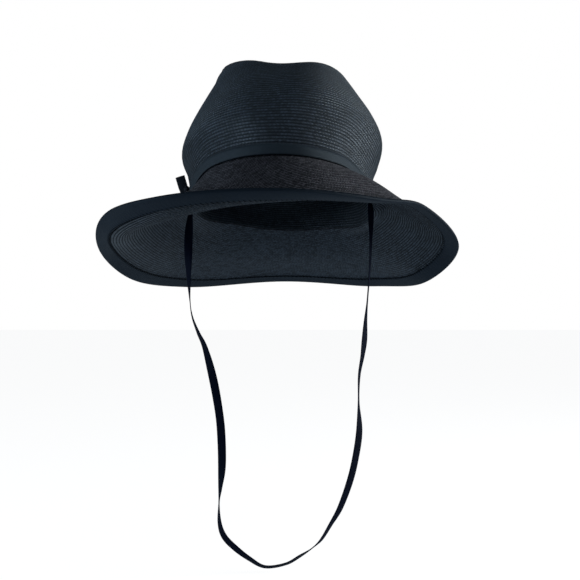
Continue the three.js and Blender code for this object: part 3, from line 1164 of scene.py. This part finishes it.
@dataclass
class HatBand:
    """The hat band: a ribbon lying round the foot of the crown.

    Its places are counted in rows of the crown's table, and its hems give the shares of its thickness at
    which its outer and inner faces lie at the two edges.
    """

    columns: int = 240
    foot_place: float = 0.12
    top_place: float = 1.1
    gap: float = 0.3
    thick: float = 0.6
    outer_hem: float = 0.7
    inner_hem: float = 0.2
    cuts: int = 6

    def build(self, finish: RibbonFinish) -> bpy.types.Object:
        """Builds and dresses the band.

        Args:
            finish: its finish.

        Returns:
            The piece.
        """
        angles = round_angles(self.columns)
        outer, inner = [], []
        for k, place in enumerate(np.linspace(self.foot_place, self.top_place, self.cuts)):
            high, low = (self.outer_hem, self.inner_hem) if k in (0, self.cuts - 1) else (1, 0)
            outer.append(SHAPE.above(SHAPE.crown, place, angles, self.gap + self.thick * high))
            inner.append(SHAPE.above(SHAPE.crown, place, angles, self.gap + self.thick * low))
        ring = outer + inner[::-1]
        skin = loop_skin(SHAPE.worn(np.stack(ring, 1)), run_round(ring[0]), run_across(ring), True)
        piece = place_piece("band_ribbon", skin, finish.material("ribbon_band"))
        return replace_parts(piece, "hat_band")


@dataclass
class SeamShadowCord:
    """A dark cord laid round the seam just under the band, where the band casts its shadow: painted shade.
    """

    columns: int = 240
    sides: int = 8
    radius: float = 0.5
    place: float = 0.07
    lift: float = 0.85

    def build(self, finish: RibbonFinish) -> bpy.types.Object:
        """Builds and dresses the cord.

        Args:
            finish: its finish.

        Returns:
            The piece.
        """
        angles = round_angles(self.columns)
        centre = SHAPE.above(SHAPE.crown, self.place, angles, self.lift)
        out = unit(centre - SHAPE.crown(np.full_like(angles, self.place), angles))
        up = np.array([0.0, 0.0, 1.0])
        ring = [
            centre + self.radius * (math.cos(turn) * out + math.sin(turn) * up)
            for turn in round_angles(self.sides)
        ]
        around = 2 * math.pi * self.radius * np.arange(self.sides + 1) / self.sides
        skin = loop_skin(SHAPE.worn(np.stack(ring, 1)), run_round(centre), around, True)
        # The dark cord paints the shadow under the band
        return place_piece("seam_shadow_cord", skin, finish.material("seam_shadow_thread"))


@dataclass(frozen=True)
class KnotFolds:
    """How far the wrapped knot stands out, in shares of its size: ridges round it and creases across."""

    rest: float = 0.90
    ridge: float = 0.12
    ridges: float = 2
    twist: float = 2.2
    roundness: float = 0.6
    crease: float = 0.07
    creases: float = 4.5

    def at(self, tall: np.ndarray, turn: np.ndarray) -> np.ndarray:
        """Works out how far the folds stand out.

        Args:
            tall: heights on the knot, from -1 to 1.
            turn: turns round it, in radians.

        Returns:
            Shares of the knot's size.
        """
        ridges = np.abs(np.cos(self.ridges * turn + self.twist * tall)) ** self.roundness
        creases = np.abs(np.sin(self.creases * tall + np.sin(turn)))
        return self.rest + self.ridge * ridges - self.crease * creases


@dataclass
class BandKnot:
    """The band's knot on the wearer's right, and the cut end that stands up from it.

    Places and sizes are in millimetres before the hat is tilted back. The tail leans out, narrows towards
    its foot, is cupped across by its curl and along by a share of it, and has a slanting cut.
    """

    centre: Point = (-83.7, -2.5, 5.4)
    size: Point = (6.0, 9, 7.6)
    tail_centre: Point = (-87.6, -4, 10.1)
    tail_size: Point = (8.2, 0.8, 15.0)
    lean: float = math.radians(17)
    curl: float = 0.5
    belly: float = 0.5
    narrowing: float = 0.12
    cut_slant: float = 0.2
    folds: KnotFolds = KnotFolds()
    knot_end: float = 0.995
    knot_rings: int = 24
    knot_sides: int = 32
    knot_weave: tuple[float, float] = (0.3, 0.5)
    tail_cuts: int = 18
    tail_sides: int = 9
    tail_weave: float = 0.8

    def knot(self) -> Skin:
        """Shapes the knot: a wrapped ball of ribbon with folds between its turns.

        Returns:
            Its closed surface.
        """
        tall = np.linspace(-self.knot_end, self.knot_end, self.knot_rings)[:, None]
        turn = round_angles(self.knot_sides)[None, :]
        flat = np.sqrt(1 - tall ** 2)
        ball = np.stack([flat * np.sin(turn), -flat * np.cos(turn), tall + 0 * turn], -1)
        ball = ball * self.folds.at(tall, turn)[..., None]
        points = SHAPE.worn(np.array(self.centre) + ball * np.array(self.size) / 2)
        along = self.knot_weave[0] * np.arange(self.knot_rings + 1)
        around = self.knot_weave[1] * np.arange(self.knot_sides + 1)
        return loop_skin(points, along, around, False)

    def tail(self) -> Skin:
        """Shapes the tail: a cut end of ribbon, cupped a little and leaning out.

        Returns:
            Its closed surface.
        """
        wide, thick, high = self.tail_size
        up = np.linspace(-0.5, 0.5, self.tail_cuts)
        side = np.linspace(-0.5, 0.5, self.tail_sides)
        section = np.array([(s, 0.5) for s in side] + [(s, -0.5) for s in side[::-1]])
        cos, sin = math.cos(self.lean), math.sin(self.lean)
        rings = []
        for share in up:
            narrow = 1 - self.narrowing * max(0, -share * 2) ** 2
            x = section[:, 0] * wide * narrow
            cupped = (2 * section[:, 0]) ** 2 - self.belly * math.sin(math.pi * (share + 0.5))
            y = section[:, 1] * thick + self.curl * cupped
            z = share * high + self.cut_slant * section[:, 0]
            leaning = np.stack([x * cos - z * sin, y, x * sin + z * cos], -1)
            rings.append(leaning + np.array(self.tail_centre))
        around = self.tail_weave * np.arange(len(section) + 1)
        return loop_skin(SHAPE.worn(np.stack(rings)), high * (up + 0.5), around, False)

    def build(self, finish: VelvetFinish) -> list[bpy.types.Object]:
        """Builds and dresses the knot and its tail.

        Args:
            finish: the finish of both.

        Returns:
            The two pieces.
        """
        velvet = finish.material("velvet")
        knot = place_piece("knot_velvet", self.knot(), velvet)
        tail = place_piece("tail_velvet", self.tail(), velvet)
        return [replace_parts(knot, "band_knot"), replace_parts(tail, "band_tail")]


@dataclass
class ChinStrap:
    """The chin strap: a flat ribbon that hangs in a loop from both sides of the crown.

    Its width and thickness are in metres, and its section in shares of half of each.
    """

    width: float = 0.0075
    thick: float = 0.0007
    steps: int = 420
    section: tuple[tuple[float, float], ...] = (
        (1, 0.25), (1, -0.25), (0.94, -0.8), (0.5, -1), (0, -1), (-0.5, -1), (-0.94, -0.8),
        (-1, -0.25), (-1, 0.25), (-0.94, 0.8), (-0.5, 1), (0, 1), (0.5, 1), (0.94, 0.8),
    )

    def line(self, place: np.ndarray) -> np.ndarray:
        """Points of the strap's route in metres, with its turn in degrees."""
        return through(np.array(STRAP_ROUTE, float), place, False)

    def build(self, finish: RibbonFinish) -> bpy.types.Object:
        """Args:
            finish: its finish.

        Returns:
            The piece.
        """
        last = len(STRAP_ROUTE) - 1
        place = np.linspace(0, last, self.steps + 1)
        here = self.line(place)
        ahead = self.line(np.minimum(place + SMALL_STEP, last))
        behind = self.line(np.maximum(place - SMALL_STEP, 0))
        route = here[:, :3]
        heading = unit(ahead[:, :3] - behind[:, :3])
        start = unit(np.cross(np.broadcast_to((0.0, -1.0, 0.0), heading.shape), heading))
        turn = np.radians(here[:, 3])[:, None]
        across = start * np.cos(turn) + np.cross(heading, start) * np.sin(turn)
        normal = np.cross(heading, across)
        rings = np.stack([
            route + across * wide * self.width / 2 + normal * high * self.thick / 2
            for wide, high in self.section
        ], 1)
        run = summed(np.linalg.norm(np.diff(route, axis=0), axis=-1))
        around = run_round(rings[0])
        skin = loop_skin(rings, run / MM, around / MM, False)
        piece = place_piece("strap_ribbon", skin, finish.material("ribbon_strap"))
        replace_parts(piece, "chin_strap")
        return piece


@dataclass(frozen=True)
class Lamp:
    """A soft square lamp: its place, aim and size in metres, and its power in watts."""

    name: str
    place: Point
    size: float
    power: float
    colour: Colour
    aim: Point = (0.0, 0.0, 0.0)

    def hang(self) -> None:
        """Hangs the lamp."""
        data = bpy.data.lights.new(self.name, "AREA")
        data.size, data.energy, data.color = self.size, self.power, self.colour
        lamp = bpy.data.objects.new(self.name, data)
        lamp.location = self.place
        sight = Vector(self.aim) - Vector(self.place)
        lamp.rotation_euler = sight.to_track_quat("-Z", "Y").to_euler()
        lamp.visible_camera = False
        bpy.context.scene.collection.objects.link(lamp)


NEUTRAL = (0.93, 0.98, 1.0)
COOL = (0.70, 0.86, 1.0)
LAMPS = (
    Lamp("right_side", (1.3, 0.05, 0.05), 0.7, 10.7, NEUTRAL),
    Lamp("overhead", (0.0, -0.8, 1.2), 0.8, 1.6, COOL),
    Lamp("low_left", (-1.3, -0.35, -0.17), 0.6, 6.0, COOL),
    Lamp("bounce", (-0.6, 0.0, -0.3225), 2.4, 5.2, COOL, aim=(-0.6, 0.0, 0.0)),
)


@dataclass
class Studio:
    """Camera, floor and soft light: lengths in metres, lens and sensor in millimetres."""

    camera_place: Point = (0.006003, -1.0, -0.081084)
    lens: float = 71.34
    sensor: float = 36
    floor_height: float = -0.3235
    floor_size: float = 12
    floor_tone: Rgba = (0.35, 0.35, 0.35, 1)
    floor_roughness: float = 0.9
    floor_glow: float = 0.93
    ambient: float = 0.08

    def camera(self) -> None:
        """Puts the camera where the photograph was taken from."""
        data = bpy.data.cameras.new("camera")
        data.lens, data.sensor_width = self.lens, self.sensor
        camera = bpy.data.objects.new("camera", data)
        camera.location = self.camera_place
        camera.rotation_euler = (math.pi / 2, 0, 0)
        bpy.context.scene.collection.objects.link(camera)
        bpy.context.scene.camera = camera

    def floor(self) -> None:
        """Lays the pale floor under the strap."""
        half = self.floor_size / 2
        corners = [(-half, -half, 0), (half, -half, 0), (half, half, 0), (-half, half, 0)]
        mesh = bpy.data.meshes.new("floor")
        mesh.from_pydata(corners, [], [(0, 1, 2, 3)])
        floor = bpy.data.objects.new("floor", mesh)
        floor.location.z = self.floor_height
        nodes = Nodes("pale_floor")
        nodes.set("Base Color", self.floor_tone)
        nodes.set("Roughness", self.floor_roughness)
        nodes.set("Emission Color", WHITE)
        nodes.set("Emission Strength", self.floor_glow)
        mesh.materials.append(nodes.material)
        bpy.context.scene.collection.objects.link(floor)
        floor.visible_diffuse = floor.visible_glossy = False

    def backdrop(self) -> None:
        """Shows a white studio round the hat, which lights it less than it shows."""
        world = bpy.data.worlds.new("studio")
        world.use_nodes = True
        tree = world.node_tree
        shown = tree.nodes["Background"]
        shown.inputs["Color"].default_value = WHITE
        lit = tree.nodes.new("ShaderNodeBackground")
        lit.inputs["Color"].default_value = (*COOL, 1)
        lit.inputs["Strength"].default_value = self.ambient
        choose = tree.nodes.new("ShaderNodeMixShader")
        path = tree.nodes.new("ShaderNodeLightPath")
        tree.links.new(path.outputs["Is Camera Ray"], choose.inputs[0])
        tree.links.new(lit.outputs[0], choose.inputs[1])
        tree.links.new(shown.outputs[0], choose.inputs[2])
        tree.links.new(choose.outputs[0], tree.nodes["World Output"].inputs["Surface"])
        bpy.context.scene.world = world
        bpy.context.scene.view_settings.view_transform = "Standard"

    def build(self) -> None:
        """Lays the floor and sets the light."""
        self.floor()
        self.backdrop()
        for lamp in LAMPS:
            lamp.hang()


BRIM_STRAW = StrawFinish(
    dark=(0.0025, 0.0030, 0.0042), light=(0.190, 0.178, 0.200), inner=(0.070, 0.086, 0.110),
    strand=0.45, lap=0.24, painted_glint=0.5, gloss=0.15,
)
FACING = RibbonFinish(
    dark=(0.0025, 0.005, 0.010), light=(0.014, 0.023, 0.037),
    rib=0.8, roughness=0.6, sheen=0.0, gloss=0.2,
)
BAND = RibbonFinish(
    dark=(0.012, 0.018, 0.024), light=(0.058, 0.074, 0.092),
    rib=0.6, roughness=0.5, sheen=0.05,
)
# Dark thread for the stitches, and for the cord that paints the shadow under the band
STITCH_AND_SHADE_THREAD = RibbonFinish(
    dark=(0.0004, 0.0008, 0.002), light=(0.002, 0.003, 0.006),
    rib=0.4, roughness=0.6, sheen=0.0, gloss=0.1,
)
STRAP = RibbonFinish(
    dark=(0.0005, 0.0012, 0.007), light=(0.0022, 0.0048, 0.020),
    rib=0.7, roughness=0.6, sheen=0.0, gloss=0.08,
)


def report(*pieces: bpy.types.Object) -> None:
    """Logs each piece with its count of triangles.

    Args:
        *pieces: the pieces to report.
    """
    for piece in pieces:
        piece.data.calc_loop_triangles()
        log.info("%s: %d triangles", piece.name, len(piece.data.loop_triangles))


def main() -> None:
    """Builds the hat in its studio, and reports each piece."""
    logging.basicConfig(level=logging.INFO, format="%(name)s %(message)s")
    studio = Studio()
    studio.camera()
    report(ChinStrap().build(STRAP))
    report(Crown().build(StrawFinish()))
    report(Brim().build(BRIM_STRAW))
    report(*RimFacing().build(FACING, STITCH_AND_SHADE_THREAD))
    report(HatBand().build(BAND))
    # A dark cord that paints the shadow under the band
    report(SeamShadowCord().build(STITCH_AND_SHADE_THREAD))
    report(*BandKnot().build(VelvetFinish()))
    studio.build()


if __name__ == "__main__":
    main()
